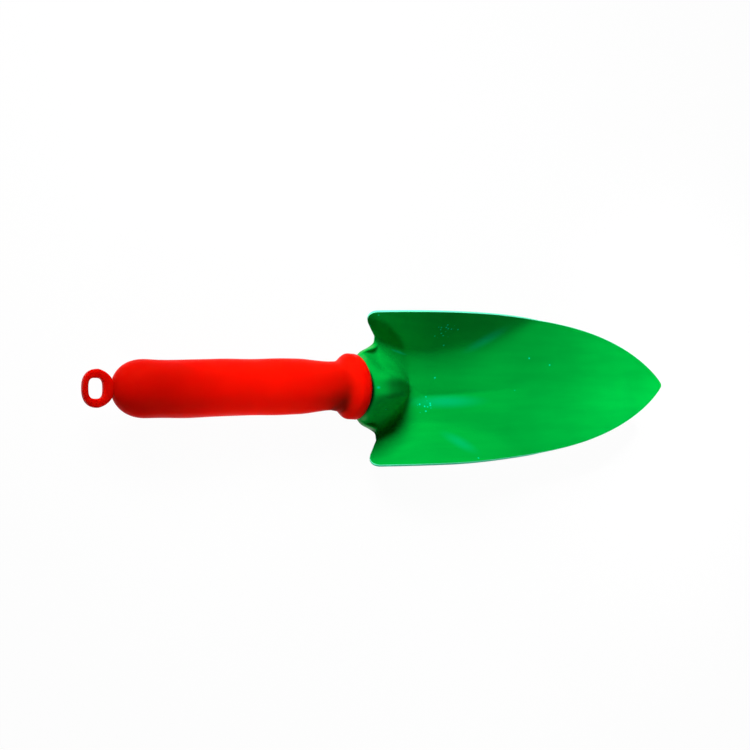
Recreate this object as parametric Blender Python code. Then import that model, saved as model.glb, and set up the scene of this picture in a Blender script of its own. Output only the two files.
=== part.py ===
"""Garden trowel: a pressed steel blade with its neck rolled into a tang, and the moulded grip over it.

Both pieces are drawn in the handle's own frame: X along the handle towards the blade, Y sideways
and Z up, with the origin on the handle's axis at the mouth of the grip. The last step lays them
down as the trowel lies on a table: on the grip's collar and on the blade's heel.
"""

import math

import bmesh
import bpy
import numpy as np
from mathutils import Matrix

MM = 0.001
MERGE = 0.05 * MM
QUARTER_TURN = 0.5 * math.pi

# Blade outline, measured along the blade from the line through its two notches
SHEET = 1.2 * MM
BLADE_LENGTH = 156.8 * MM
BLADE_HALF_WIDTH = 36.2 * MM
TAPER_START = 12.0 * MM
TAPER_POWER = 3.5
TIP_POWER = 0.80
NOTCH_Y = 23.7 * MM
SHOULDER_SLOPE = 0.82
CORNER_WIDTH = 5.0 * MM
CORNER_RUN = 7.0 * MM

# Scoop section: a shallow V floor and turned-up walls
FLOOR_SLOPE = 0.17
VALLEY_RADIUS = 1.3 * MM
VALLEY_FADE = 7.0 * MM
FOOT_Y = 17.2 * MM
FOOT_X = 21.0 * MM
FOOT_REAR_SPREAD = 8.0 * MM
FOOT_REAR_RUN = 30.0 * MM
FOOT_FRONT_SPREAD = 15.0 * MM
FOOT_FRONT_RUN = 58.0 * MM
FOOT_FRONT_POWER = 1.6
WALL_SLOPE = 0.99
WALL_SLOPE_LOSS = 0.45
WALL_REAR_GAIN = 0.24
CREASE_SOFTNESS = 0.9 * MM
CREASE_FADE = 5.0 * MM

# Hump: the half cone that carries the neck down onto the floor
HUMP_HEIGHT = 25.0 * MM
HUMP_LENGTH = 17.2 * MM
HUMP_HALF_WIDTH = 10.0 * MM
HUMP_FALL = 0.54
HUMP_CURL = 2.1
HUMP_NARROWING = 0.95
HUMP_TAPER = 1.4
HUMP_SQUARENESS = 4.0
HUMP_REACH = 1.5
HUMP_FILLET = 3.0 * MM

# Flange: the low platform round the hump, a little narrower than the notches
FLANGE_HEIGHT = 3.0 * MM
FLANGE_INSET = 2.2 * MM
FLANGE_LENGTH = 24.5 * MM
FLANGE_EDGE = 1.5 * MM
FLANGE_FALL_POWER = 1.0

# Blade seat in the handle's frame
BLADE_X = 18.9 * MM
BLADE_DROP = 17.0 * MM
CRANK = math.radians(12.0)

# Tang and neck
TANG_RADIUS = 9.5 * MM
NECK_START = -22.0 * MM
SEAM_HALF_GAP = 0.4 * MM
THROAT_X = 1.2 * MM
THROAT_RADIUS = 12.0 * MM
THROAT_OPENING = math.radians(126.0)
THROAT_SPLAY = 0.9 * MM
THROAT_DRIFT = 0.6
SPREAD_DRIFT = 2.0
NOTCH_DRIFT = 1.1

# Grip: lengths are measured back from its front, walls outwards from what they cover
CLEARANCE = 0.3 * MM
GRIP_FRONT = 0.9 * MM
GRIP_LENGTH = 119.3 * MM
END_WALL = 7.5 * MM
END_GAP = 2.0 * MM
BORE_CHAMFER = 0.8 * MM
DOME_LENGTH = 16.2 * MM
DOME_POWER = 2.5
BARREL_WALL = 3.15 * MM
WAIST_DEPTH = 1.4 * MM
WAIST_RUN = 17.0 * MM
FLARE_RUN = 11.0 * MM
FLARE_POWER = 2.6
COLLAR_LAND = 2.0 * MM
COLLAR_ROUND = 2.0 * MM
COLLAR_LIP = 1.1 * MM
RIM_WALL = 1.3 * MM
MOUTH_ROUND = 0.9 * MM

# Hang eye, measured back from the domed end
SLOT_WALL = 3.8 * MM
SLOT_HALF_LENGTH = 3.3 * MM
SLOT_HALF_WIDTH = 4.45 * MM
SLOT_SQUARENESS = 3.2
EYE_SHIFT = 1.1 * MM
EYE_END_RING = 3.6 * MM
EYE_SIDE_RING = 3.95 * MM
EYE_THICKNESS = 4.4 * MM
EYE_SQUARENESS = 2.4
EYE_ROOT_TAPER = 0.22
EYE_EDGE = 0.9 * MM

# Lying down
REST_TILT = math.radians(3.32)

# What follows from the sizes above
FLANGE_HALF_WIDTH = NOTCH_Y - FLANGE_INSET
CORNER_Y = BLADE_HALF_WIDTH - CORNER_WIDTH
DOME_END = GRIP_FRONT - GRIP_LENGTH
BORE_END = DOME_END + END_WALL
TANG_START = BORE_END + END_GAP
BARREL_RADIUS = TANG_RADIUS + CLEARANCE + BARREL_WALL
WAIST_RADIUS = BARREL_RADIUS - WAIST_DEPTH
RIM_RADIUS = THROAT_RADIUS + THROAT_SPLAY + CLEARANCE + RIM_WALL
COLLAR_RADIUS = RIM_RADIUS + COLLAR_LIP
COLLAR_X = GRIP_FRONT - COLLAR_ROUND
WAIST_X = COLLAR_X - COLLAR_LAND - FLARE_RUN
SLOT_CENTRE = DOME_END - SLOT_WALL - SLOT_HALF_LENGTH
EYE_CENTRE = SLOT_CENTRE + EYE_SHIFT
EYE_HALF_LENGTH = SLOT_HALF_LENGTH + EYE_END_RING
EYE_HALF_WIDTH = SLOT_HALF_WIDTH + EYE_SIDE_RING

# How finely each form is cut into faces
SCOOP_COLUMNS_INNER = 14
SCOOP_COLUMNS_OUTER = 7
HUMP_ROWS = 16
FLOOR_ROWS = 19
FLOOR_ROW_CLOSING = 1.15
NECK_ROWS = 8
TANG_ROWS = 3
SECTION_SAMPLES = 400
GRIP_STEPS = 48
DOME_ROWS = 7
BARREL_ROWS = 2
WAIST_ROWS = 5
FLARE_ROWS = 7
COLLAR_ROWS = 5
MOUTH_ROWS = 3
BELL_ROWS = 6
EYE_SIDES = 40
EYE_EDGE_SEGMENTS = 3
SLOT_SIDES = 32


def smooth_step(t):
    t = np.clip(t, 0.0, 1.0)
    return t * t * (3.0 - 2.0 * t)


def half_width(x):
    """The blade's half width: constant over the rear, then a superellipse down to the tip."""
    u = np.clip((x - TAPER_START) / (BLADE_LENGTH - TAPER_START), 0.0, 1.0)
    return BLADE_HALF_WIDTH * (1.0 - u**TAPER_POWER) ** TIP_POWER


def behind_nose(x):
    """Rises from nought beside the hump's nose towards one behind it."""
    return smooth_step((FOOT_X - x) / FOOT_REAR_RUN)


def foot_line(x):
    """Where the side wall leaves the floor: nearest in behind the hump's nose, running out ahead of it."""
    rear = FOOT_REAR_SPREAD * behind_nose(x)
    front = FOOT_FRONT_SPREAD * (np.maximum(x - FOOT_X, 0.0) / FOOT_FRONT_RUN) ** FOOT_FRONT_POWER
    return FOOT_Y + rear + front


def hump(x, y):
    """A half cone sinking into the floor: its crest falls ever faster, and its flanks flare out at the foot."""
    along = x / HUMP_LENGTH
    t = np.maximum(along, 0.0)
    curl = (1.0 - HUMP_FALL) * np.minimum(t, HUMP_REACH) ** HUMP_CURL
    crest = HUMP_HEIGHT * (1.0 - HUMP_FALL * along - curl)
    crest = 0.5 * (crest + np.sqrt(crest * crest + HUMP_FILLET**2))
    width = HUMP_HALF_WIDTH * np.sqrt(1.0 - HUMP_NARROWING * np.minimum(t, 1.0) ** HUMP_TAPER)
    return crest / (1.0 + (np.abs(y) / width) ** HUMP_SQUARENESS)


def flange(x, y):
    """A low platform round the hump, nearly as wide as the notches behind and closing in ahead of the nose."""
    along = np.clip(x / FLANGE_LENGTH, 0.0, 1.0)
    plan = FLANGE_HALF_WIDTH * (1.0 - along)
    edge = 0.5 * (1.0 + np.tanh((plan - np.abs(y)) / FLANGE_EDGE))
    return FLANGE_HEIGHT * (1.0 - along) ** FLANGE_FALL_POWER * edge


def scoop_height(x, y):
    """Height of the blade's upper face over its base line: V floor, turned-up walls, flange and hump."""
    along = np.clip(x / BLADE_LENGTH, 0.0, 1.0)
    valley = VALLEY_RADIUS + VALLEY_FADE * along
    floor = FLOOR_SLOPE * (np.sqrt(y * y + valley**2) - valley)
    out = np.abs(y) - foot_line(x)
    soft = CREASE_SOFTNESS + CREASE_FADE * along
    steep = WALL_SLOPE - WALL_SLOPE_LOSS * along + WALL_REAR_GAIN * behind_nose(x)
    wall = steep * 0.5 * (out + np.sqrt(out * out + soft**2))
    return floor + wall + flange(x, y) + hump(x, y)


def to_handle(x, y, height):
    """From the blade's own frame to the handle's."""
    return np.stack(
        [
            BLADE_X + x * math.cos(CRANK) - height * math.sin(CRANK),
            y,
            -BLADE_DROP + x * math.sin(CRANK) + height * math.cos(CRANK),
        ],
        axis=-1,
    )


def rear_edge(y):
    """Where the sheet starts: the neck's joint line inboard of the notch, the swept shoulder outboard."""
    out = np.maximum(y - NOTCH_Y, 0.0)
    corner = np.clip((y - CORNER_Y) / (BLADE_HALF_WIDTH - CORNER_Y), 0.0, 1.0)
    return CORNER_RUN * (1.0 - np.sqrt(1.0 - corner**2)) - SHOULDER_SLOPE * out


def run_along(points):
    """The distance covered at each of a line's points."""
    steps = np.linalg.norm(np.diff(points, axis=0), axis=1)
    return np.concatenate([[0.0], np.cumsum(steps)])


def across_neck():
    """Column positions from the centre line to the notch, evenly spaced round the section there."""
    fine = np.linspace(0.0, NOTCH_Y, SECTION_SAMPLES)
    along = run_along(np.stack([fine, scoop_height(np.zeros_like(fine), fine)], axis=-1))
    return np.interp(np.linspace(0.0, along[-1], SCOOP_COLUMNS_INNER + 1), along, fine)


def across_scoop():
    """The neck's columns, and those beyond the notch, which close up towards the edge."""
    turn = np.linspace(0.0, QUARTER_TURN, SCOOP_COLUMNS_OUTER + 1)[1:]
    return np.concatenate([across_neck(), NOTCH_Y + (BLADE_HALF_WIDTH - NOTCH_Y) * np.sin(turn)])


def scoop_points():
    """Rows from the rear edge to the tip, columns from the centre line out, in the handle's frame."""
    across = across_scoop()
    over_hump = np.linspace(0.0, HUMP_LENGTH, HUMP_ROWS + 1)
    turn = np.linspace(0.0, QUARTER_TURN, FLOOR_ROWS + 1)[1:]
    ahead = HUMP_LENGTH + (BLADE_LENGTH - HUMP_LENGTH) * np.sin(turn) ** FLOOR_ROW_CLOSING
    rows = np.concatenate([over_hump, ahead]) / BLADE_LENGTH
    start = rear_edge(across)
    x = start + (BLADE_LENGTH - start) * rows[:, None]
    y = across / BLADE_HALF_WIDTH * half_width(x)
    y[-1] = 0.0
    return to_handle(x, y, scoop_height(x, y))


def blend(rear, rear_lead, front, front_lead, rows):
    """A cubic, line by line, between two sections, each left in its own direction."""
    run = (front - rear)[:, :1]
    t = np.linspace(0.0, 1.0, rows + 1)[:, None, None]
    return (
        (2 * t**3 - 3 * t**2 + 1) * rear
        + (t**3 - 2 * t**2 + t) * run * rear_lead
        + (3 * t**2 - 2 * t**3) * front
        + (t**3 - t**2) * run * front_lead
    )


def joint_section(y):
    """The scoop's section on the line through the notches, and the way its surface leads on from there."""
    x = np.zeros_like(y)
    here = to_handle(x, y, scoop_height(x, y))
    drift = NOTCH_DRIFT * y / NOTCH_Y
    ahead = to_handle(x + MERGE, y + drift * MERGE, scoop_height(x + MERGE, y + drift * MERGE))
    return here, (ahead - here) / (ahead - here)[:, :1]


def ring(x, radius, angle):
    return np.stack([np.full_like(angle, x), radius * np.sin(angle), radius * np.cos(angle)], axis=-1)


def neck_points(y, rows):
    """The neck: the tang's closed ring, a throat open underneath at the grip's mouth, the scoop's section."""
    joint, joint_lead = joint_section(y)
    along = run_along(joint)
    share = along / along[-1]
    tang = ring(NECK_START, TANG_RADIUS, (math.pi - SEAM_HALF_GAP / TANG_RADIUS) * share)
    throat = ring(THROAT_X, THROAT_RADIUS + THROAT_SPLAY * share**2, THROAT_OPENING * share)
    tang_lead = np.array([1.0, 0.0, 0.0])
    throat_lead = np.stack([np.ones_like(share), THROAT_DRIFT * share**2, np.zeros_like(share)], axis=-1)
    spread_lead = np.stack([np.ones_like(share), SPREAD_DRIFT * share**2, np.zeros_like(share)], axis=-1)
    hidden = blend(tang, tang_lead, throat, throat_lead, rows)
    shown = blend(throat, spread_lead, joint, joint_lead, rows)
    return np.concatenate([hidden, shown[1:]])


def neck_reach(x):
    """The neck's greatest distance from the handle's axis at station x."""
    lines = neck_points(across_neck(), NECK_ROWS)
    radius = np.hypot(lines[..., 1], lines[..., 2])
    found = [np.interp(x, lines[:, k, 0], radius[:, k]) for k in range(lines.shape[1])]
    return float(np.amax(found))


def new_object(name, mesh):
    obj = bpy.data.objects.new(name, mesh)
    bpy.context.scene.collection.objects.link(obj)
    return obj


def helper_object(name, mesh):
    obj = new_object(name, mesh)
    obj.hide_render = True
    obj.display_type = "WIRE"
    return obj


def painted_steel():
    material = bpy.data.materials.new("green paint on steel")
    material.use_nodes = True
    shader = material.node_tree.nodes["Principled BSDF"]
    shader.inputs["Base Color"].default_value = (0.0, 0.33, 0.055, 1.0)
    shader.inputs["Metallic"].default_value = 0.0
    shader.inputs["Roughness"].default_value = 0.38
    return material


def soft_plastic():
    material = bpy.data.materials.new("red soft plastic")
    material.use_nodes = True
    shader = material.node_tree.nodes["Principled BSDF"]
    shader.inputs["Base Color"].default_value = (0.8, 0.004, 0.002, 1.0)
    shader.inputs["Metallic"].default_value = 0.0
    shader.inputs["Roughness"].default_value = 0.5
    return material


def add_grid(bm, points, shared=None):
    """A grid of faces looking up or outwards. Given the row to share, its last vertices are those."""
    rows = []
    for i, line in enumerate(points):
        if shared is not None and i == len(points) - 1:
            rows.append(shared[: len(line)])
        elif np.ptp(line, axis=0).max() == 0.0:
            rows.append([bm.verts.new(line[0])] * len(line))
        else:
            rows.append([bm.verts.new(p) for p in line])
    for near, far in zip(rows, rows[1:]):
        for k in range(len(near) - 1):
            corners = [near[k], far[k], far[k + 1], near[k + 1]]
            bm.faces.new(list(dict.fromkeys(corners)))
    return rows


def blade():
    """Half the sheet as grids for the scoop, the neck and the tang, then mirrored and given its thickness."""
    bm = bmesh.new()
    scoop = add_grid(bm, scoop_points())
    neck = neck_points(across_neck(), NECK_ROWS)
    joined = add_grid(bm, neck, scoop[0])
    tang = np.repeat(neck[:1], TANG_ROWS + 1, axis=0)
    tang[..., 0] = np.linspace(TANG_START, NECK_START, TANG_ROWS + 1)[:, None]
    add_grid(bm, tang, joined[0])
    mesh = bpy.data.meshes.new("blade")
    bm.to_mesh(mesh)
    bm.free()
    mesh.shade_smooth()
    obj = new_object("blade", mesh)
    mirror = obj.modifiers.new("other half", "MIRROR")
    mirror.use_axis = (False, True, False)
    mirror.use_clip = True
    mirror.merge_threshold = MERGE
    thicken = obj.modifiers.new("sheet thickness", "SOLIDIFY")
    thicken.thickness = SHEET
    thicken.offset = -1.0
    thicken.use_even_offset = True
    mesh.materials.append(painted_steel())
    return obj


def grip_radius(x):
    """The grip's outer radius: domed end, barrel, waist, and the flare up to the collar."""
    rise = 1.0 - np.clip((x - DOME_END) / DOME_LENGTH, 0.0, 1.0)
    dome = np.sqrt(np.clip(1.0 - rise**DOME_POWER, 0.0, 1.0))
    rear = WAIST_RADIUS + WAIST_DEPTH * smooth_step((WAIST_X - x) / WAIST_RUN)
    flare = smooth_step((x - WAIST_X) / FLARE_RUN) ** FLARE_POWER
    front = WAIST_RADIUS + (COLLAR_RADIUS - WAIST_RADIUS) * flare
    return dome * np.where(x < WAIST_X, rear, front)


def grip_outside():
    """The grip's outer face as points (x, radius), from the dome's end to the rim."""
    dome = DOME_END + DOME_LENGTH * (1.0 - np.cos(np.linspace(0.0, QUARTER_TURN, DOME_ROWS + 1)))
    barrel = np.linspace(DOME_END + DOME_LENGTH, WAIST_X - WAIST_RUN, BARREL_ROWS + 1)[1:]
    waist = np.linspace(WAIST_X - WAIST_RUN, WAIST_X, WAIST_ROWS + 1)[1:]
    flare = np.linspace(WAIST_X, WAIST_X + FLARE_RUN, FLARE_ROWS + 1)[1:]
    x = np.concatenate([dome, barrel, waist, flare, [COLLAR_X]])
    points = list(zip(x, grip_radius(x)))
    for a in np.linspace(0.0, QUARTER_TURN, COLLAR_ROWS + 1)[1:]:
        points.append((COLLAR_X + COLLAR_ROUND * math.sin(a), RIM_RADIUS + COLLAR_LIP * math.cos(a)))
    return points


def grip_inside():
    """The grip's mouth and bore as points (x, radius), from the rim back to the bore's flat end."""
    mouth_x = GRIP_FRONT - MOUTH_ROUND
    depth = RIM_RADIUS - neck_reach(mouth_x) - CLEARANCE
    bore = TANG_RADIUS + CLEARANCE
    points = []
    for a in np.linspace(0.0, QUARTER_TURN, MOUTH_ROWS + 1)[1:]:
        points.append((mouth_x + MOUTH_ROUND * math.cos(a), RIM_RADIUS - depth * math.sin(a)))
    for x in np.linspace(mouth_x, NECK_START, BELL_ROWS + 1)[1:]:
        points.append((x, neck_reach(x) + CLEARANCE))
    points.append((BORE_END + BORE_CHAMFER, bore))
    points.append((BORE_END, bore - BORE_CHAMFER))
    points.append((BORE_END, 0.0))
    return points


def superellipse(half_length, half_width, squareness, count):
    """An oval as x and y round it: cosine and sine, each raised to two over its squareness."""
    angle = np.linspace(0.0, 2.0 * math.pi, count, endpoint=False)
    c = np.cos(angle)
    s = np.sin(angle)
    return (
        half_length * np.sign(c) * np.abs(c) ** (2.0 / squareness),
        half_width * np.sign(s) * np.abs(s) ** (2.0 / squareness),
    )


def prism(name, xs, ys, thickness):
    """An upright plate on an outline, centred on the handle's axis."""
    bm = bmesh.new()
    low = [bm.verts.new((x, y, -0.5 * thickness)) for x, y in zip(xs, ys)]
    high = [bm.verts.new((x, y, 0.5 * thickness)) for x, y in zip(xs, ys)]
    bm.faces.new(low[::-1])
    bm.faces.new(high)
    for k in range(len(low)):
        n = (k + 1) % len(low)
        bm.faces.new([low[k], low[n], high[n], high[k]])
    mesh = bpy.data.meshes.new(name)
    bm.to_mesh(mesh)
    bm.free()
    return helper_object(name, mesh)


def hang_eye():
    """The flat eye behind the dome, narrowed towards its root and rounded along its edges."""
    xs, ys = superellipse(EYE_HALF_LENGTH, EYE_HALF_WIDTH, EYE_SQUARENESS, EYE_SIDES)
    ys = ys * (1.0 - EYE_ROOT_TAPER * np.maximum(xs / EYE_HALF_LENGTH, 0.0))
    eye = prism("hang eye blank", EYE_CENTRE + xs, ys, EYE_THICKNESS)
    edge = eye.modifiers.new("rounded edges", "BEVEL")
    edge.width = EYE_EDGE
    edge.segments = EYE_EDGE_SEGMENTS
    edge.limit_method = "ANGLE"
    return eye


def hang_slot():
    xs, ys = superellipse(SLOT_HALF_LENGTH, SLOT_HALF_WIDTH, SLOT_SQUARENESS, SLOT_SIDES)
    return prism("hang slot cutter", SLOT_CENTRE + xs, ys, 3 * EYE_THICKNESS)


def grip():
    """The turned wall of the sleeve, joined to its hang eye and cut by the slot."""
    points = grip_outside() + grip_inside()
    mesh = bpy.data.meshes.new("grip")
    mesh.from_pydata([(x, 0.0, r) for x, r in points], [(k, k + 1) for k in range(len(points) - 1)], [])
    obj = new_object("grip", mesh)
    turned = obj.modifiers.new("turned", "SCREW")
    turned.axis = "X"
    turned.steps = GRIP_STEPS
    turned.render_steps = GRIP_STEPS
    turned.use_merge_vertices = True
    turned.merge_threshold = MERGE
    turned.use_normal_flip = True
    turned.use_smooth_shade = True
    for name, other, operation in (
        ("hang eye", hang_eye(), "UNION"),
        ("hang slot", hang_slot(), "DIFFERENCE"),
    ):
        step = obj.modifiers.new(name, "BOOLEAN")
        step.object = other
        step.operation = operation
        step.solver = "EXACT"
    mesh.materials.append(soft_plastic())
    return obj


def corners_of(objects, turn):
    """The lowest and highest corner of the objects' evaluated meshes, turned."""
    graph = bpy.context.evaluated_depsgraph_get()
    found = []
    for obj in objects:
        evaluated = obj.evaluated_get(graph)
        mesh = evaluated.to_mesh()
        flat = np.empty(len(mesh.vertices) * 3)
        mesh.vertices.foreach_get("co", flat)
        found.append(flat.reshape(-1, 3) @ np.array(turn.to_3x3()).T)
        evaluated.to_mesh_clear()
    everything = np.concatenate(found)
    return everything.min(axis=0), everything.max(axis=0)


def lay_down(pieces):
    """Tips the trowel onto its collar and heel, and sets the origin under the middle of its outline."""
    tip = Matrix.Rotation(REST_TILT, 4, "Y")
    low, high = corners_of(pieces, tip)
    shift = Matrix.Translation((-0.5 * (low[0] + high[0]), 0.0, -low[2]))
    for obj in bpy.data.objects:
        obj.matrix_world = shift @ tip


def main():
    for obj in list(bpy.data.objects):
        bpy.data.objects.remove(obj, do_unlink=True)
    lay_down([blade(), grip()])


main()
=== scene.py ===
"""Garden trowel: a painted blade and a moulded grip as fine surfaces, with finishes, on a pale stage.

Lengths are in metres. Both pieces are worked out in the handle's own frame, X along the handle towards
the blade and Z up, with the origin on the handle's axis at the mouth of the grip, and are then laid
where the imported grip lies. The scoop starts in a frame of its own, the blade's, with X from the line
through the two notches to the tip.
"""

import math

import bpy
import numpy as np
from bpy.props import FloatProperty, FloatVectorProperty, PointerProperty
from mathutils import Matrix, Vector


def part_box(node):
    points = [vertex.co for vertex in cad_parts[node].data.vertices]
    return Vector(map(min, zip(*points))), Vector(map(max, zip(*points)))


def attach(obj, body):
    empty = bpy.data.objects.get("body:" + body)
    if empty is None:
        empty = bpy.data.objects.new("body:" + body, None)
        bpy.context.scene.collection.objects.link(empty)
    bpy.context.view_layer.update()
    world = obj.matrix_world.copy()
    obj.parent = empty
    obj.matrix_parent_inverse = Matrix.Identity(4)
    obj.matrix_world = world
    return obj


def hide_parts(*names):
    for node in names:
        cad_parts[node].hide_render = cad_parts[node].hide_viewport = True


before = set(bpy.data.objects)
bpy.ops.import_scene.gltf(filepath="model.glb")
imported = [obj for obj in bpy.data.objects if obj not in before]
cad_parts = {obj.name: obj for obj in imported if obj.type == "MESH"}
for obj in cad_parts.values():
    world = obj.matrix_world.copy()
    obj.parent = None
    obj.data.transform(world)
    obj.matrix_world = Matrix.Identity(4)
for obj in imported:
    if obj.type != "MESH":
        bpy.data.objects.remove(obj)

bl_info = {
    "name": "Garden Trowel",
    "version": (1, 0, 0),
    "blender": (4, 5, 0),
    "location": "View3D > Sidebar > Trowel",
    "description": "Makes a pressed steel hand trowel with a moulded sleeve grip",
    "category": "Object",
}

MM = 0.001
QUARTER = 0.5 * math.pi
WHOLE = 2.0 * math.pi
TINY = 1e-12
WHITE = (1.0, 1.0, 1.0, 1.0)

# Blade outline, in the blade's frame
BLADE_LENGTH = 156.8 * MM
BLADE_HALF_WIDTH = 36.2 * MM
TAPER_START = 12.0 * MM
TAPER_POWER = 3.5
TIP_POWER = 0.80
NOTCH_Y = 23.7 * MM
SHOULDER_SLOPE = 0.82
CORNER_WIDTH = 5.0 * MM
CORNER_RUN = 7.0 * MM

# Scoop section, in the blade's frame: a shallow V floor and turned-up walls
FLOOR_SLOPE = 0.17
VALLEY_RADIUS = 1.3 * MM
VALLEY_FADE = 7.0 * MM
FOOT_Y = 17.2 * MM
FOOT_X = 21.0 * MM
FOOT_REAR_SPREAD = 8.0 * MM
FOOT_REAR_RUN = 30.0 * MM
FOOT_FRONT_SPREAD = 15.0 * MM
FOOT_FRONT_RUN = 58.0 * MM
FOOT_FRONT_POWER = 1.6
WALL_SLOPE = 0.99
WALL_SLOPE_LOSS = 0.45
WALL_REAR_GAIN = 0.24
CREASE_SOFTNESS = 0.9 * MM
CREASE_FADE = 5.0 * MM

# Crease along the floor's lowest line, in the blade's frame: the floor swells beside it
PINCH_SLOPE = 0.30
PINCH_REACH = 5.0 * MM
PINCH_RADIUS = 0.5 * MM
PINCH_START = 17.0 * MM
PINCH_RISE = 9.0 * MM
PINCH_END = 90.0 * MM
PINCH_FALL = 54.0 * MM

# Lean of the floor's lowest line towards -Y, in the handle's frame
LEAN = -4.1 * MM
LEAN_REACH = 9.0 * MM
LEAN_START = 36.0 * MM
LEAN_RISE = 9.0 * MM
LEAN_END = 120.0 * MM
LEAN_FALL = 84.0 * MM

# Rear of the -Y rim, further out than the +Y one, in the handle's frame
RIM_SWAY = 0.9 * MM
RIM_SWAY_RUN = 8.0 * MM
RIM_SWAY_END = 90.0 * MM
RIM_SWAY_FALL = 45.0 * MM

# Hump: the half cone that carries the neck down onto the floor
HUMP_HEIGHT = 25.0 * MM
HUMP_LENGTH = 17.2 * MM
HUMP_HALF_WIDTH = 10.0 * MM
HUMP_FALL = 0.54
HUMP_CURL = 2.1
HUMP_NARROWING = 0.95
HUMP_TAPER = 1.4
HUMP_SQUARENESS = 4.0
HUMP_REACH = 1.5
HUMP_FILLET = 3.0 * MM

# Flange: the low platform round the hump
FLANGE_HEIGHT = 3.0 * MM
FLANGE_HALF_WIDTH = 21.5 * MM
FLANGE_LENGTH = 24.5 * MM
FLANGE_EDGE = 1.5 * MM
FLANGE_FALL_POWER = 1.0

# Blade seat in the handle's frame
BLADE_X = 18.9 * MM
BLADE_DROP = 17.0 * MM
CRANK = math.radians(12.0)

# Tang and neck
TANG_START = -108.9 * MM
TANG_RADIUS = 9.5 * MM
NECK_START = -22.0 * MM
SEAM_HALF_GAP = 0.4 * MM
THROAT_X = 1.2 * MM
THROAT_RADIUS = 12.0 * MM
THROAT_OPENING = math.radians(126.0)
THROAT_SPLAY = 0.9 * MM
THROAT_DRIFT = 0.6
SPREAD_DRIFT = 2.0
NOTCH_DRIFT = 1.1
JOINT_STEP = 0.05 * MM

# Rounding of the outline at the notches, and of the sheet's cut edge
NOTCH_REACH = 3.0 * MM
NOTCH_ROUNDS = 30
EDGE_POWER = 0.6

# Grip
CLEARANCE = 0.3 * MM
GRIP_FRONT = 0.9 * MM
DOME_END = -118.4 * MM
BORE_END = -110.9 * MM
BORE_CHAMFER = 0.8 * MM
DOME_LENGTH = 16.2 * MM
DOME_POWER = 2.5
BARREL_RADIUS = 12.95 * MM
WAIST_X = -14.1 * MM
WAIST_RADIUS = 11.55 * MM
WAIST_RUN = 17.0 * MM
FLARE_RUN = 11.0 * MM
FLARE_POWER = 2.6
COLLAR_X = -1.1 * MM
COLLAR_RADIUS = 15.6 * MM
RIM_RADIUS = 14.5 * MM
RIM_BOW = 1.4 * MM
MOUTH_ROUND = 0.9 * MM

# Sideways lean of the soft sleeve: station along the handle, lean
GRIP_SWAY = (
    (-132.0 * MM, 0.3 * MM),
    (-118.0 * MM, 0.3 * MM),
    (-88.0 * MM, -0.2 * MM),
    (-62.0 * MM, 0.4 * MM),
    (-26.0 * MM, 0.8 * MM),
    (-8.0 * MM, 1.0 * MM),
    (0.0 * MM, 0.5 * MM),
    (2.0 * MM, 0.5 * MM),
)

# Slow waves of the moulded outside: height, turns along the grip, turns round it, start in radians
WAVES = (
    (1.0, 3.1, 0.0, 0.8),
    (0.6, 5.3, 2.0, 1.7),
    (0.7, 1.2, -1.0, 0.4),
)
WAVE_REAR_RUN = 0.15
WAVE_FRONT_RUN = 0.08

# Hang eye
SLOT_CENTRE = -125.5 * MM
SLOT_HALF_LENGTH = 3.3 * MM
SLOT_HALF_WIDTH = 4.45 * MM
SLOT_SQUARENESS = 3.2
EYE_CENTRE = -124.4 * MM
EYE_HALF_LENGTH = 6.9 * MM
EYE_HALF_WIDTH = 8.4 * MM
EYE_THICKNESS = 4.4 * MM
EYE_SQUARENESS = 2.4
EYE_ROOT_TAPER = 0.22
RING_SQUARENESS = 4.5

# Steps of the grids
NECK_COLUMNS = 60
NECK_ROWS = 30
TANG_ROWS = 20
SHOULDER_COLUMNS = 36
HUMP_ROWS = 60
FRONT_ROWS = 100
FRONT_SPACING = 1.15
EDGE_STRIPS = 8
SECTION_FINENESS = 40
BORE_COLUMNS = 40
DOME_STATIONS = 40
SLEEVE_STATIONS = 150
ROUND_STATIONS = 12
LEANING_ROUND_STATIONS = 6
BELL_STATIONS = 24
SLEEVE_SIDES = 144
EYE_SIDES = 144
EYE_SECTION_SIDES = 40
SHARP_ANGLE = math.radians(50.0)

# Patterns of the finishes: patches to the metre, layers of detail
PAINT_CLOUDS = (28.0, 3.0)
PAINT_STREAKS = (260.0, 4.0)
DRAWING_MARKS = (900.0, 3.0)
ORANGE_PEEL = (1100.0, 2.0)
PLASTIC_CLOUDS = (40.0, 2.0)
PLASTIC_GRAIN = (1600.0, 2.0)
DRAWING_STRETCH = (0.06, 1.0, 1.0)
PATTERN_SPAN = (0.3, 0.7)

# What a pattern's low and high places do to tone and roughness
PAINT_CLOUD_TONE = (0.93, 1.07)
PAINT_STREAK_TONE = (0.965, 1.035)
PAINT_ROUGHNESS = (0.30, 0.38)
PLASTIC_TONE = (0.95, 1.05)
PLASTIC_ROUGHNESS = (0.46, 0.54)

# Painted shade darkening the grip towards its domed end, in the imported model's frame
SHADED_END_X = -125.0 * MM
SHADED_END_FRONT = -70.0 * MM
SHADED_END_TONE = 0.66

# Painted shade on the neck at the sleeve's mouth: how far it reaches, and how much further on the -Y side
MOUTH_SHADE_REACH = 3.4 * MM
MOUTH_SHADE_LEAN = 0.4

# Painted highlights, in the imported model's frame: middle, degrees round Z, half length, half width,
# strength
PAINTED_HIGHLIGHTS = (
    ((7.8 * MM, 17.8 * MM), -18.0, 6.0 * MM, 0.8 * MM, 0.6),
    ((35.0 * MM, -27.4 * MM), -30.0, 12.0 * MM, 4.5 * MM, 0.3),
    ((53.0 * MM, 24.0 * MM), 29.0, 16.0 * MM, 3.6 * MM, 0.35),
    ((33.0 * MM, -7.0 * MM), 0.0, 26.0 * MM, 4.5 * MM, 0.4),
    ((-14.7 * MM, -0.3 * MM), 0.0, 1.3 * MM, 0.9 * MM, 1.0),
)
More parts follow.
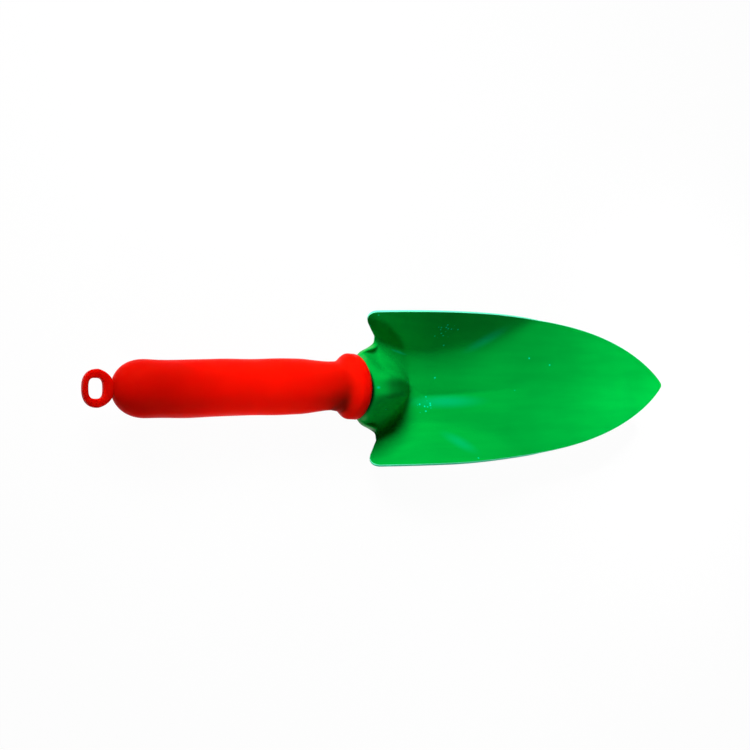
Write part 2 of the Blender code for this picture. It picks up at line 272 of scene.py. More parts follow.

# Dust specks, painted as bright glints: cells to the metre, a speck's edge and core in cells, and
# shares of cells that hold one
SPECK_CELLS = 700.0
SPECK_EDGE = 0.42
SPECK_CORE = 0.16
SPECK_SHARE = 0.003
SPECK_CLUSTER_SHARE = 0.55
SPECK_CLUSTER_CORE = 0.3

# Clusters of dust specks painted as glints, in the imported model's frame: middle, reach
SPECKS = (
    ((21.5 * MM, -8.5 * MM, 2.3 * MM), 6.0 * MM),
    ((28.0 * MM, 27.0 * MM, 14.0 * MM), 8.0 * MM),
)

# Tilt of the handle's axis as the trowel rests on its collar and heel
REST_TILT = math.radians(3.32)

# The photograph's camera, in the handle's frame, with its lens for a square 36 mm picture
CAMERA_TILT = math.radians(27.70)
CAMERA_TURN = math.radians(1.81)
CAMERA_ROLL = math.radians(-0.96)
CAMERA_DISTANCE = 607.4 * MM
CAMERA_AIM = (10.13 * MM, 6.0 * MM, 0.0)
CAMERA_SENSOR = 36.0
CAMERA_LENS = 60.89

# Lamps, in the handle's frame: name, azimuth, elevation, side, beam, where it aims along X, watts
LAMP_DISTANCE = 0.6
LAMPS = (
    ("side lamp", 125.0, 33.0, 0.25, 80.0, 0.06, 1.21),
    ("fill lamp", 234.0, 24.0, 0.10, 36.0, 0.18, 0.065),
    ("tip lamp", 95.0, 42.0, 0.06, 18.0, 0.205, 0.075),
    ("grip lamp", 262.0, 26.0, 0.06, 16.0, -0.060, 0.026),
)

# Stage: how strongly the room lights and shows, how much of the floor's look is plain white, its size
ROOM_LIGHT = 0.01
ROOM_SEEN = 1.0
FLOOR_WHITE = 0.97
FLOOR_HALF_SIDE = 3.0


class TrowelSizes(bpy.types.PropertyGroup):
    sheet: FloatProperty(
        name="Sheet", description="Thickness of the pressed sheet",
        default=1.2 * MM, min=0.6 * MM, max=2.0 * MM, unit="LENGTH")
    edge_round: FloatProperty(
        name="Edge rounding", description="How far the sheet's cut edge bulges",
        default=0.25 * MM, min=0.1 * MM, max=0.6 * MM, unit="LENGTH")
    grip_wander: FloatProperty(
        name="Grip wander", description="Most that the moulded grip departs from a true turned form",
        default=0.22 * MM, min=0.0, max=0.6 * MM, unit="LENGTH")


class TrowelColours(bpy.types.PropertyGroup):
    paint: FloatVectorProperty(
        name="Paint", description="Green paint on the blade", subtype="COLOR",
        default=(0.0, 0.33, 0.034), min=0.0, max=1.0)
    # Painted highlight: light paint along the sheet's cut edge, where light catches it
    edge_highlight: FloatVectorProperty(
        name="Edge highlight", description="Painted highlight along the sheet's cut edge",
        subtype="COLOR", default=(0.12, 0.80, 0.48), min=0.0, max=1.0)
    # Painted highlight: lighter paint where light would glint on the blade and neck
    paint_highlight: FloatVectorProperty(
        name="Painted highlight", description="Paint lightened where a highlight is painted", subtype="COLOR",
        default=(0.0, 0.52, 0.24), min=0.0, max=1.0)
    # Dust specks painted as bright glints
    dust_and_glint: FloatVectorProperty(
        name="Dust and glints", description="Specks of dust, painted as bright glints", subtype="COLOR",
        default=(0.0, 0.78, 0.42), min=0.0, max=1.0)
    # Painted shade: near-black paint where the collar's shadow falls on the neck
    mouth_shade: FloatVectorProperty(
        name="Mouth shade", description="Painted shade on the neck at the grip's mouth", subtype="COLOR",
        default=(0.0, 0.004, 0.001), min=0.0, max=1.0)
    plastic: FloatVectorProperty(
        name="Plastic", description="Red plastic of the grip", subtype="COLOR",
        default=(0.76, 0.004, 0.0005), min=0.0, max=1.0)
    floor: FloatVectorProperty(
        name="Floor", description="Pale floor under the trowel", subtype="COLOR",
        default=(0.86, 0.86, 0.86), min=0.0, max=1.0)


def smooth_step(t):
    """Nought up to 0, one from 1 on, and between them three times t squared less twice t cubed."""
    t = np.clip(t, 0.0, 1.0)
    return t * t * (3.0 - 2.0 * t)


def half_width(x, trim):
    """The blade's half width: constant over the rear, then a superellipse down to the tip."""
    u = np.clip((x - TAPER_START) / (BLADE_LENGTH - TAPER_START), 0.0, 1.0)
    return (BLADE_HALF_WIDTH - trim) * (1.0 - u**TAPER_POWER) ** TIP_POWER


def behind_nose(x):
    """Rises from nought beside the hump's nose to one well behind it."""
    return smooth_step((FOOT_X - x) / FOOT_REAR_RUN)


def foot_line(x):
    """Where the side wall leaves the floor: nearest in beside the nose, further out behind it by a
    smooth step and ahead of it by a power of the distance."""
    rear = FOOT_REAR_SPREAD * behind_nose(x)
    front = FOOT_FRONT_SPREAD * (np.maximum(x - FOOT_X, 0.0) / FOOT_FRONT_RUN) ** FOOT_FRONT_POWER
    return FOOT_Y + rear + front


def hump(x, y):
    """A half cone sinking into the floor. Its crest falls by a share of the way and by a power of it,
    and rounds off at nought. Its half width goes as the root of one less a power of the way. Across,
    its height is the crest over one plus a high power of y over that width."""
    along = x / HUMP_LENGTH
    t = np.maximum(along, 0.0)
    curl = (1.0 - HUMP_FALL) * np.minimum(t, HUMP_REACH) ** HUMP_CURL
    crest = HUMP_HEIGHT * (1.0 - HUMP_FALL * along - curl)
    crest = 0.5 * (crest + np.sqrt(crest * crest + HUMP_FILLET**2))
    width = HUMP_HALF_WIDTH * np.sqrt(1.0 - HUMP_NARROWING * np.minimum(t, 1.0) ** HUMP_TAPER)
    return crest / (1.0 + (np.abs(y) / width) ** HUMP_SQUARENESS)


def flange(x, y):
    """A low platform round the hump. Its half width and height fall to nought ahead of the nose, and
    its edge is softened by a hyperbolic tangent."""
    along = np.clip(x / FLANGE_LENGTH, 0.0, 1.0)
    plan = FLANGE_HALF_WIDTH * (1.0 - along)
    edge = 0.5 * (1.0 + np.tanh((plan - np.abs(y)) / FLANGE_EDGE))
    return FLANGE_HEIGHT * (1.0 - along) ** FLANGE_FALL_POWER * edge


def scoop_height(x, y):
    """Height of the blade's upper face over its base line: a hyperbola across for the V floor, half of
    another for the wall beyond the foot line, then the flange and the hump."""
    along = np.clip(x / BLADE_LENGTH, 0.0, 1.0)
    valley = VALLEY_RADIUS + VALLEY_FADE * along
    floor = FLOOR_SLOPE * (np.sqrt(y * y + valley**2) - valley)
    out = np.abs(y) - foot_line(x)
    soft = CREASE_SOFTNESS + CREASE_FADE * along
    steep = WALL_SLOPE - WALL_SLOPE_LOSS * along + WALL_REAR_GAIN * behind_nose(x)
    wall = steep * 0.5 * (out + np.sqrt(out * out + soft**2))
    return floor + wall + flange(x, y) + hump(x, y)


def pinched_valley(x, y):
    """How far the floor swells beside its lowest line: the distance from the line times a falling
    exponential of it, so steepest at the line and most at the reach, fading at both ends."""
    out = np.sqrt(y * y + PINCH_RADIUS**2) - PINCH_RADIUS
    rise = smooth_step((x - PINCH_START) / PINCH_RISE)
    fall = smooth_step((PINCH_END - x) / PINCH_FALL)
    return PINCH_SLOPE * out * np.exp(-out / PINCH_REACH) * rise * fall


def to_handle(x, y, height):
    """From the blade's frame to the handle's: turned up by the crank, moved forward and dropped."""
    c = math.cos(CRANK)
    s = math.sin(CRANK)
    return np.stack([BLADE_X + x * c - height * s, y, x * s + height * c - BLADE_DROP], axis=-1)


def rear_edge(y):
    """Where the sheet starts: the line through the notches inboard, and outboard a straight swept
    shoulder with a quarter ellipse at its corner."""
    corner = np.clip((y - BLADE_HALF_WIDTH + CORNER_WIDTH) / CORNER_WIDTH, 0.0, 1.0)
    swept = SHOULDER_SLOPE * np.maximum(y - NOTCH_Y, 0.0)
    return CORNER_RUN * (1.0 - np.sqrt(1.0 - corner**2)) - swept


def across_neck(count):
    """Columns from the centre line to the notch, spaced by length round the section there, and closer
    by the notch, as a sine of the way."""
    fine = np.linspace(0.0, NOTCH_Y, SECTION_FINENESS * count)
    section = scoop_height(np.zeros_like(fine), fine)
    along = np.concatenate([[0.0], np.cumsum(np.hypot(np.diff(fine), np.diff(section)))])
    t = np.linspace(0.0, 1.0, count + 1)
    return np.interp(along[-1] * 0.5 * (t + np.sin(QUARTER * t)), along, fine)


def scoop_points(neck_columns, trim):
    """Half the scoop: rows from the rear edge to the tip, each at one share of the way, and columns from
    the centre line out, each at one share of the half width."""
    turn = np.linspace(0.0, QUARTER, SHOULDER_COLUMNS + 1)[1:]
    across = np.concatenate([neck_columns, NOTCH_Y + (BLADE_HALF_WIDTH - NOTCH_Y) * np.sin(turn)])
    over_hump = np.linspace(0.0, HUMP_LENGTH, HUMP_ROWS + 1)
    ahead = np.sin(np.linspace(0.0, QUARTER, FRONT_ROWS + 1))[1:] ** FRONT_SPACING
    rows = np.concatenate([over_hump, HUMP_LENGTH + (BLADE_LENGTH - trim - HUMP_LENGTH) * ahead])
    share = rows / rows[-1]
    start = rear_edge(across)
    x = start + (BLADE_LENGTH - trim - start) * share[:, None]
    y = across / BLADE_HALF_WIDTH * half_width(x, trim)
    return to_handle(x, y, scoop_height(x, y) + pinched_valley(x, y))


def valley_lean(x, y):
    """How far the floor's lowest line moves sideways: a bell curve across it, fading at both ends."""
    near = np.exp(-((y / LEAN_REACH) ** 2))
    along = smooth_step((x - LEAN_START) / LEAN_RISE) * smooth_step((LEAN_END - x) / LEAN_FALL)
    return LEAN * near * along


def rim_sway(x, y):
    """How far the rear of the -Y rim lies further out: nought at the notch, fading towards the tip."""
    outboard = smooth_step((-y - NOTCH_Y) / RIM_SWAY_RUN)
    return RIM_SWAY * (outboard * smooth_step((RIM_SWAY_END - x) / RIM_SWAY_FALL))


def uneven(points):
    """The mirrored scoop with its lowest line leaning and its -Y rim swayed out."""
    x = points[..., 0]
    y = points[..., 1]
    moved = points.copy()
    moved[..., 1] += valley_lean(x, y)
    moved[..., 1] -= rim_sway(x, y)
    return moved


def blend(rear, rear_lead, front, front_lead, rows):
    """A cubic, line by line, between two sections, each left in its own direction."""
    run = (front - rear)[:, :1]
    t = np.linspace(0.0, 1.0, rows + 1)[:, None, None]
    return (
        (2 * t**3 - 3 * t**2 + 1) * rear
        + (t**3 - 2 * t**2 + t) * run * rear_lead
        + (3 * t**2 - 2 * t**3) * front
        + (t**3 - t**2) * run * front_lead
    )


def joint_section(y):
    """The scoop's section on the line through the notches, and the way its surface leads on, for each
    step along X, found by a short step ahead."""
    x = np.zeros_like(y)
    drift = NOTCH_DRIFT * y / NOTCH_Y
    here = to_handle(x, y, scoop_height(x, y))
    x = x + JOINT_STEP
    y = y + drift * JOINT_STEP
    ahead = to_handle(x, y, scoop_height(x, y))
    return here, (ahead - here) / (ahead - here)[:, :1]


def ring(x, radius, angle):
    """Points round the handle's axis: the angle's sine times the radius across, and its cosine up."""
    return np.stack([np.full_like(angle, x), radius * np.sin(angle), radius * np.cos(angle)], axis=-1)


def lead(share, drift):
    """A direction ahead, turning outwards by the square of the share of the way round."""
    return np.stack([np.ones_like(share), drift * share**2, np.zeros_like(share)], axis=-1)


def neck_points(y, rows, seam=SEAM_HALF_GAP):
    """Half the neck: cubics from the tang's closed ring to a throat, open underneath, at the grip's
    mouth, and on to the scoop's section."""
    joint, joint_lead = joint_section(y)
    share = np.concatenate([[0.0], np.cumsum(np.linalg.norm(np.diff(joint, axis=0), axis=1))])
    share = share / share[-1]
    tang = ring(NECK_START, TANG_RADIUS, (math.pi - seam / TANG_RADIUS) * share)
    throat = ring(THROAT_X, THROAT_RADIUS + THROAT_SPLAY * share**2, THROAT_OPENING * share)
    hidden = blend(tang, lead(share, 0.0), throat, lead(share, THROAT_DRIFT), rows)
    shown = blend(throat, lead(share, SPREAD_DRIFT), joint, joint_lead, rows)
    return np.concatenate([hidden, shown[1:]])


def neck_reach(x):
    """The neck's greatest distance from the handle's axis, at each station x."""
    lines = neck_points(across_neck(BORE_COLUMNS), NECK_ROWS)
    radius = np.hypot(lines[..., 1], lines[..., 2])
    reaches = [np.interp(x, lines[:, k, 0], radius[:, k]) for k in range(lines.shape[1])]
    return np.max(reaches, axis=0)


def both_sides(half):
    """A half grid and its mirror image across the centre line, as one grid with y rising."""
    return np.concatenate([half[:, :0:-1] * np.array([1.0, -1.0, 1.0]), half], axis=1)


def quads_of(index):
    """The faces of a grid of vertex numbers, looking up where rows run forward, columns to +Y."""
    near = index[:-1]
    far = index[1:]
    return np.stack([near[:, :-1], far[:, :-1], far[:, 1:], near[:, 1:]], axis=-1).reshape(-1, 4)


def numbered(points, first=0):
    """A grid's vertex numbers, row by row from the first."""
    return first + np.arange(points[..., 0].size).reshape(points.shape[:-1])


def unit(vectors):
    """Each vector over its own length."""
    return vectors / np.maximum(np.linalg.norm(vectors, axis=-1, keepdims=True), TINY)


def normals_of(points, faces):
    """Each vertex's normal: the sum of its faces' normals, each as long as its face is large."""
    a, b, c, d = (points[faces[:, k]] for k in range(4))
    face_normal = np.cross(c - a, d - b)
    total = np.zeros_like(points)
    for k in range(4):
        np.add.at(total, faces[:, k], face_normal)
    return unit(total)


def mouth_shade_mark(points):
    """One on the neck from the sleeve's front rim to half the painted shade's reach, falling to nought at
    the reach, which is longer on the -Y side. The rim bows back by the sine squared of the angle round."""
    x, y, z = points.T
    rim = GRIP_FRONT - RIM_BOW * y * y / np.maximum(y * y + z * z, MM * MM)
    reach = MOUTH_SHADE_REACH * (1.0 - MOUTH_SHADE_LEAN * np.clip(y / RIM_RADIUS, -1.0, 1.0))
    return smooth_step(2.0 * (1.0 - (x - rim) / reach))


def relaxed(points, faces, rim, centres, reach, rounds):
    """Rounds the outline near each centre: a vertex drifts to the mean of its neighbours, and one on
    the rim to the mean of its two neighbours there, ever less with the distance from the centre."""
    ends = np.concatenate([faces[:, [k, (k + 1) % 4]] for k in range(4)])
    ends = np.concatenate([ends, ends[:, ::-1]])
    on_rim = np.zeros(len(points), bool)
    on_rim[rim] = True
    ends = ends[~on_rim[ends[:, 0]]]
    before = np.stack([rim, np.roll(rim, 1)], -1)
    after = np.stack([rim, np.roll(rim, -1)], -1)
    ends = np.concatenate([ends, before, after])
    near = np.min([np.linalg.norm(points - c, axis=1) for c in centres], axis=0)
    pull = smooth_step(1.0 - near / reach)[:, None] * 0.5
    live = pull[:, 0] > 0.0
    ends = ends[live[ends[:, 0]]]
    count = np.maximum(np.bincount(ends[:, 0], minlength=len(points)), 1)[:, None]
    points = points.copy()
    for _ in range(rounds):
        total = np.zeros_like(points)
        np.add.at(total, ends[:, 0], points[ends[:, 1]])
        points += pull * (total / count - points)
    return points


def rounded_sheet(points, faces, rim, sheet, bulge):
    """A closed sheet from its upper face: the lower face lies a sheet's thickness back along the
    normals, and half a superellipse is carried round the rim. The last value marks that edge with one."""
    normal = normals_of(points, faces)
    count = len(points)
    low = points - sheet * normal
    along = np.roll(points[rim], -1, axis=0) - np.roll(points[rim], 1, axis=0)
    outward = unit(np.cross(along, normal[rim]))
    middle = 0.5 * (points[rim] + low[rim])
    angle = np.linspace(0.0, math.pi, EDGE_STRIPS + 1)[1:-1, None, None]
    up = np.sign(np.cos(angle)) * np.abs(np.cos(angle)) ** EDGE_POWER
    out = np.sin(angle) ** EDGE_POWER
    strip = middle + 0.5 * sheet * up * normal[rim] + bulge * out * outward
    lines = np.concatenate([rim[None], numbered(strip, 2 * count), rim[None] + count])
    lines = np.concatenate([lines, lines[:, :1]], axis=1)
    everything = np.concatenate([points, low, strip.reshape(-1, 3)])
    mark = np.zeros(len(everything))
    mark[2 * count:] = 1.0
    return everything, np.concatenate([faces, faces[:, ::-1] + count, quads_of(lines)]), mark


def blade_surface(sheet, bulge):
    """The whole sheet: tang and neck rows as far as the notches, then the scoop's wider rows, joined
    there, with the rim listed once round from the notch on the +Y side."""
    columns = across_neck(NECK_COLUMNS)
    neck = neck_points(columns, NECK_ROWS, SEAM_HALF_GAP + bulge)
    tang = np.repeat(neck[:1], TANG_ROWS, axis=0)
    tang[..., 0] = np.linspace(TANG_START + bulge, NECK_START, TANG_ROWS + 1)[:-1, None]
    narrow = both_sides(np.concatenate([tang, neck[:-1]]))
    wide = uneven(both_sides(scoop_points(columns, bulge)))
    narrow_index = numbered(narrow)
    wide_index = numbered(wide, narrow_index.size)
    first = (wide.shape[1] - narrow.shape[1]) // 2
    last = first + narrow.shape[1] - 1
    joined = np.concatenate([narrow_index, wide_index[:1, first:last + 1]])
    points = np.concatenate([narrow.reshape(-1, 3), wide.reshape(-1, 3)])
    faces = np.concatenate([quads_of(joined), quads_of(wide_index)])
    rim = np.concatenate([
        joined[::-1, -1],
        narrow_index[0, -2:0:-1],
        joined[:, 0],
        wide_index[0, first - 1:0:-1],
        wide_index[:-1, 0],
        wide_index[-1, :-1],
        wide_index[:0:-1, -1],
        wide_index[0, :last:-1],
    ])
    notches = (points[joined[-1, 0]], points[joined[-1, -1]])
    points = relaxed(points, faces, rim, notches, NOTCH_REACH, NOTCH_ROUNDS)
    return rounded_sheet(points, faces, rim, sheet, bulge)


def grip_radius(x):
    """The grip's outer radius: a superellipse at the domed end, the barrel, a smooth step down to the
    waist, and a power of a smooth step up to the collar."""
    rise = 1.0 - np.clip((x - DOME_END) / DOME_LENGTH, 0.0, 1.0)
    dome = np.sqrt(np.clip(1.0 - rise**DOME_POWER, 0.0, 1.0))
    rear = WAIST_RADIUS + (BARREL_RADIUS - WAIST_RADIUS) * smooth_step((WAIST_X - x) / WAIST_RUN)
    flare = smooth_step((x - WAIST_X) / FLARE_RUN) ** FLARE_POWER
    front = WAIST_RADIUS + (COLLAR_RADIUS - WAIST_RADIUS) * flare
    return dome * np.where(x < WAIST_X, rear, front)


def grip_profile():
    """The sleeve's wall as x and radius, pole to pole: a cosine's spacing over the dome, even over the
    barrel and waist, a quarter ellipse at the collar and at the mouth's rim, the neck's reach plus the
    clearance in the mouth, and a straight bore. The last value is how many of the points lie outside."""
    dome = DOME_END + DOME_LENGTH * (1.0 - np.cos(np.linspace(0.0, QUARTER, DOME_STATIONS)))
    barrel = np.linspace(DOME_END + DOME_LENGTH, COLLAR_X, SLEEVE_STATIONS)[1:]
    x = np.concatenate([dome, barrel])
    turn = np.linspace(0.0, QUARTER, ROUND_STATIONS + 1)[1:]
    collar_x = COLLAR_X + (GRIP_FRONT - COLLAR_X) * np.sin(turn)
    collar_r = RIM_RADIUS + (COLLAR_RADIUS - RIM_RADIUS) * np.cos(turn)
    mouth_x = GRIP_FRONT - MOUTH_ROUND
    depth = RIM_RADIUS - neck_reach(mouth_x) - CLEARANCE
    bell = np.linspace(mouth_x, NECK_START, BELL_STATIONS + 1)[1:]
    bore = TANG_RADIUS + CLEARANCE
    stretches = (
        (x, grip_radius(x)),
        (collar_x, collar_r),
        (mouth_x + MOUTH_ROUND * np.cos(turn), RIM_RADIUS - depth * np.sin(turn)),
        (bell, neck_reach(bell) + CLEARANCE),
        ([BORE_END + BORE_CHAMFER, BORE_END, BORE_END], [bore, bore - BORE_CHAMFER, 0.0]),
    )
    stations, radii = (np.concatenate(part) for part in zip(*stretches))
    return stations, radii, len(x)


def wander(x, angle, amount):
    """How far the outside swells: a sum of sines along the grip and round it, none at the ends."""
    along = (x - DOME_END) / (COLLAR_X - DOME_END)
    window = smooth_step(along / WAVE_REAR_RUN) * smooth_step((1.0 - along) / WAVE_FRONT_RUN)
    waves = sum(
        height * np.sin(WHOLE * lengthwise * along + sideways * angle + start)
        for height, lengthwise, sideways, start in WAVES)
    return amount * window * waves / sum(wave[0] for wave in WAVES)


def sway(x):
    """How far the soft sleeve leans sideways at each station: smooth steps between the named ones."""
    stations, leans = np.array(GRIP_SWAY).T
    k = np.clip(np.searchsorted(stations, x) - 1, 0, len(stations) - 2)
    share = smooth_step((x - stations[k]) / (stations[k + 1] - stations[k]))
    return leans[k] + (leans[k + 1] - leans[k]) * share


def turned_sleeve(amount):
    """The sleeve: the profile carried round the X axis, closed by a fan of triangles at each pole. Its
    front bows back at both sides, by the angle's sine squared, where it meets the spreading neck."""
    x, radius, outside = grip_profile()
    angle = np.linspace(0.0, WHOLE, SLEEVE_SIDES, endpoint=False)
    swell = np.zeros((len(x), SLEEVE_SIDES))
    swell[:outside] = wander(x[:outside, None], angle, amount)
    leaning = np.arange(len(x)) < outside + LEANING_ROUND_STATIONS
    lean = np.where(leaning, sway(x), 0.0)
    front = smooth_step((x - WAIST_X) / FLARE_RUN)
    reach = radius[1:-1, None] + swell[1:-1]
    station = x[1:-1, None] - RIM_BOW * front[1:-1, None] * np.sin(angle) ** 2
    across = reach * np.sin(angle) + lean[1:-1, None]
    rings = np.stack([station, across, reach * np.cos(angle)], axis=-1)
    points = np.concatenate([[[x[0], lean[0], 0.0]], rings.reshape(-1, 3), [[x[-1], 0.0, 0.0]]])
    index = numbered(rings, 1)
    wrapped = np.concatenate([index, index[:, :1]], axis=1)
    tail = np.full(SLEEVE_SIDES, 0)
    end = np.full(SLEEVE_SIDES, len(points) - 1)
    fans = np.concatenate([
        np.stack([tail, wrapped[0, :-1], wrapped[0, 1:]], -1),
        np.stack([end, wrapped[-1, 1:], wrapped[-1, :-1]], -1),
    ])
    return points, quads_of(wrapped), fans


def oval(half_length, half_width, squareness, angle):
    """Points round a superellipse: cosine and sine, each raised to two over its squareness."""
    c = np.cos(angle)
    s = np.sin(angle)
    power = 2.0 / squareness
    return half_length * np.sign(c) * np.abs(c) ** power, half_width * np.sign(s) * np.abs(s) ** power


def eye_ring():
    """The hang eye: a squarish section carried round between the slot's oval and the outer one."""
    angle = np.linspace(0.0, WHOLE, EYE_SIDES, endpoint=False)
    section = np.linspace(0.0, WHOLE, EYE_SECTION_SIDES, endpoint=False)
    slot_x, slot_y = oval(SLOT_HALF_LENGTH, SLOT_HALF_WIDTH, SLOT_SQUARENESS, angle)
    out_x, out_y = oval(EYE_HALF_LENGTH, EYE_HALF_WIDTH, EYE_SQUARENESS, angle)
    out_y = out_y * (1.0 - EYE_ROOT_TAPER * np.maximum(out_x / EYE_HALF_LENGTH, 0.0))
    across, height = oval(0.5, 0.5 * EYE_THICKNESS, RING_SQUARENESS, section)
    share = 0.5 + across[:, None]
    x = SLOT_CENTRE + slot_x + (EYE_CENTRE + out_x - SLOT_CENTRE - slot_x) * share
    y = slot_y + (out_y - slot_y) * share + sway(x)
    z = np.broadcast_to(height[:, None], x.shape)
    points = np.stack([x, y, z], axis=-1)
    index = numbered(points)
    wrapped = np.concatenate([index, index[:1]])
    wrapped = np.concatenate([wrapped, wrapped[:, :1]], axis=1)
    return points.reshape(-1, 3), quads_of(wrapped)[:, ::-1]


def lay():
    """The move from the handle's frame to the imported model's: a tilt, then a shift that brings the
    grip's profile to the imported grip's front and lowest point."""
    tip = Matrix.Rotation(REST_TILT, 3, "Y")
    x, radius, _ = grip_profile()
    crown = np.stack([x, np.zeros_like(x), radius], -1) @ np.array(tip).T
    belly = np.stack([x, np.zeros_like(x), -radius], -1) @ np.array(tip).T
    low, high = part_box("grip")
    shift = Vector((high.x - crown[:, 0].max(), 0.0, low.z - belly[:, 2].min()))
    return Matrix.Translation(shift) @ tip.to_4x4()


def laid(points):
    """Points moved from the handle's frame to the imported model's."""
    move = np.array(lay())
    return points @ move[:3, :3].T + move[:3, 3]


def add_object(name, data):
    """A new object for a mesh, lamp or camera, in the scene."""
    obj = bpy.data.objects.new(name, data)
    bpy.context.scene.collection.objects.link(obj)
    return obj


def mesh_object(name, points, *groups):
    """A smooth mesh from points and groups of faces, each a whole array of triangles or of quads."""
    mesh = bpy.data.meshes.new(name)
    mesh.vertices.add(len(points))
    mesh.vertices.foreach_set("co", np.asarray(points, np.float32).ravel())
    corners = np.concatenate([g.ravel() for g in groups])
    sizes = np.concatenate([np.full(len(g), g.shape[1]) for g in groups])
    starts = np.concatenate([[0], np.cumsum(sizes)[:-1]])
    mesh.loops.add(len(corners))
    mesh.loops.foreach_set("vertex_index", corners.astype(np.int32))
    mesh.polygons.add(len(sizes))
    mesh.polygons.foreach_set("loop_start", starts.astype(np.int32))
    mesh.update(calc_edges=True)
    if mesh.validate():
        raise RuntimeError(f"{name}'s faces aren't a sound mesh")
    mesh.shade_smooth()
    return add_object(name, mesh)


def carry_mark(mesh, name, values):
    """Gives each point of a mesh a value that its material reads by name."""
    mark = mesh.attributes.new(name, "FLOAT", "POINT")
    mark.data.foreach_set("value", values.astype(np.float32))


def united(piece, other):
    """A piece's mesh after an exact union with another closed one, which is then removed."""
    union = piece.modifiers.new("union", "BOOLEAN")
    union.object = other
    union.operation = "UNION"
    union.solver = "EXACT"
    graph = bpy.context.evaluated_depsgraph_get()
    whole = bpy.data.meshes.new_from_object(piece.evaluated_get(graph))
    piece.modifiers.clear()
    piece.data = whole
    bpy.data.objects.remove(other, do_unlink=True)
    return whole


def new_material(name):
    """A material with nodes, its tree and its shader."""
    material = bpy.data.materials.new(name)
    material.use_nodes = True
    return material, material.node_tree, material.node_tree.nodes["Principled BSDF"]


def fill(tree, node, sockets):
    """Gives each socket of a node a value, or a link from another node's output."""
    for key, value in sockets.items():
        if isinstance(value, bpy.types.NodeSocket):
            tree.links.new(value, node.inputs[key])
        else:
            node.inputs[key].default_value = value


def add_node(tree, kind, sockets=None, **settings):
    """A shader node with its settings and its filled sockets."""
    node = tree.nodes.new("ShaderNode" + kind)
    for key, value in settings.items():
        setattr(node, key, value)
    fill(tree, node, sockets or {})
    return node


def sum_up(tree, operation, first, second):
    """One sum on two values."""
    return add_node(tree, "Math", {0: first, 1: second}, operation=operation).outputs[0]


def ramp(tree, value, low, high, low_to=0.0, high_to=1.0):
    """A value carried smoothly from one range to another."""
    sockets = {"Value": value, "From Min": low, "From Max": high, "To Min": low_to, "To Max": high_to}
    return add_node(tree, "MapRange", sockets, interpolation_type="SMOOTHSTEP").outputs["Result"]


def pattern(tree, place, patches, layers):
    """Soft random patches, from about nought to one."""
    sockets = {"Vector": place, "Scale": patches, "Detail": layers}
    return add_node(tree, "TexNoise", sockets).outputs["Fac"]


def spread(tree, patches, low_to, high_to):
    """A pattern's usual span carried smoothly to another range."""
    return ramp(tree, patches, *PATTERN_SPAN, low_to, high_to)


def toned(tree, colour, tone):
    """A colour times a tone."""
    return add_node(tree, "VectorMath", {0: colour, 1: tone}, operation="MULTIPLY").outputs[0]


def covered(tree, under, share, over):
    """One colour with a share of another over it."""
    sockets = {"Factor": share, "A": under, "B": (*over, 1.0)}
    return add_node(tree, "Mix", sockets, data_type="RGBA").outputs["Result"]


def mark_of(tree, name):
    """A value that the mesh carries under this name."""
    return add_node(tree, "Attribute", attribute_name=name).outputs["Fac"]


def painted_highlight(tree, place, middle, angle, half_length, half_width, strength):
    """How far a painted highlight, a long soft spot, lightens the paint: most in its middle and nothing
    at its edge, by the distance in a frame made of the spot's middle, angle and half sizes."""
    sockets = {
        "Vector": place,
        "Location": (*middle, 0.0),
        "Rotation": (0.0, 0.0, math.radians(angle)),
        "Scale": (half_length, half_width, 1.0),
    }
    own = add_node(tree, "Mapping", sockets, vector_type="TEXTURE").outputs["Vector"]
    out = add_node(tree, "VectorMath", {0: own}, operation="LENGTH").outputs["Value"]
    return ramp(tree, out, 1.0, 0.0, 0.0, strength)


def glinting_dust_specks(tree, place):
    """Round specks of dust, painted as bright glints, in some of a field's cells: few all over, and many
    within the named clusters.
    """
    cells = add_node(tree, "TexVoronoi", {"Vector": place, "Scale": SPECK_CELLS}).outputs
    dot = ramp(tree, cells["Distance"], SPECK_EDGE, SPECK_CORE)
    luck = add_node(tree, "SeparateColor", {"Color": cells["Color"]}).outputs[0]
    crowd = SPECK_SHARE
    for middle, reach in SPECKS:
        gap = add_node(tree, "VectorMath", {0: place, 1: middle}, operation="DISTANCE").outputs["Value"]
        share = ramp(tree, gap, reach, SPECK_CLUSTER_CORE * reach, 0.0, SPECK_CLUSTER_SHARE)
        crowd = sum_up(tree, "ADD", share, crowd)
    chosen = sum_up(tree, "LESS_THAN", luck, crowd)
    return sum_up(tree, "MULTIPLY", chosen, dot)


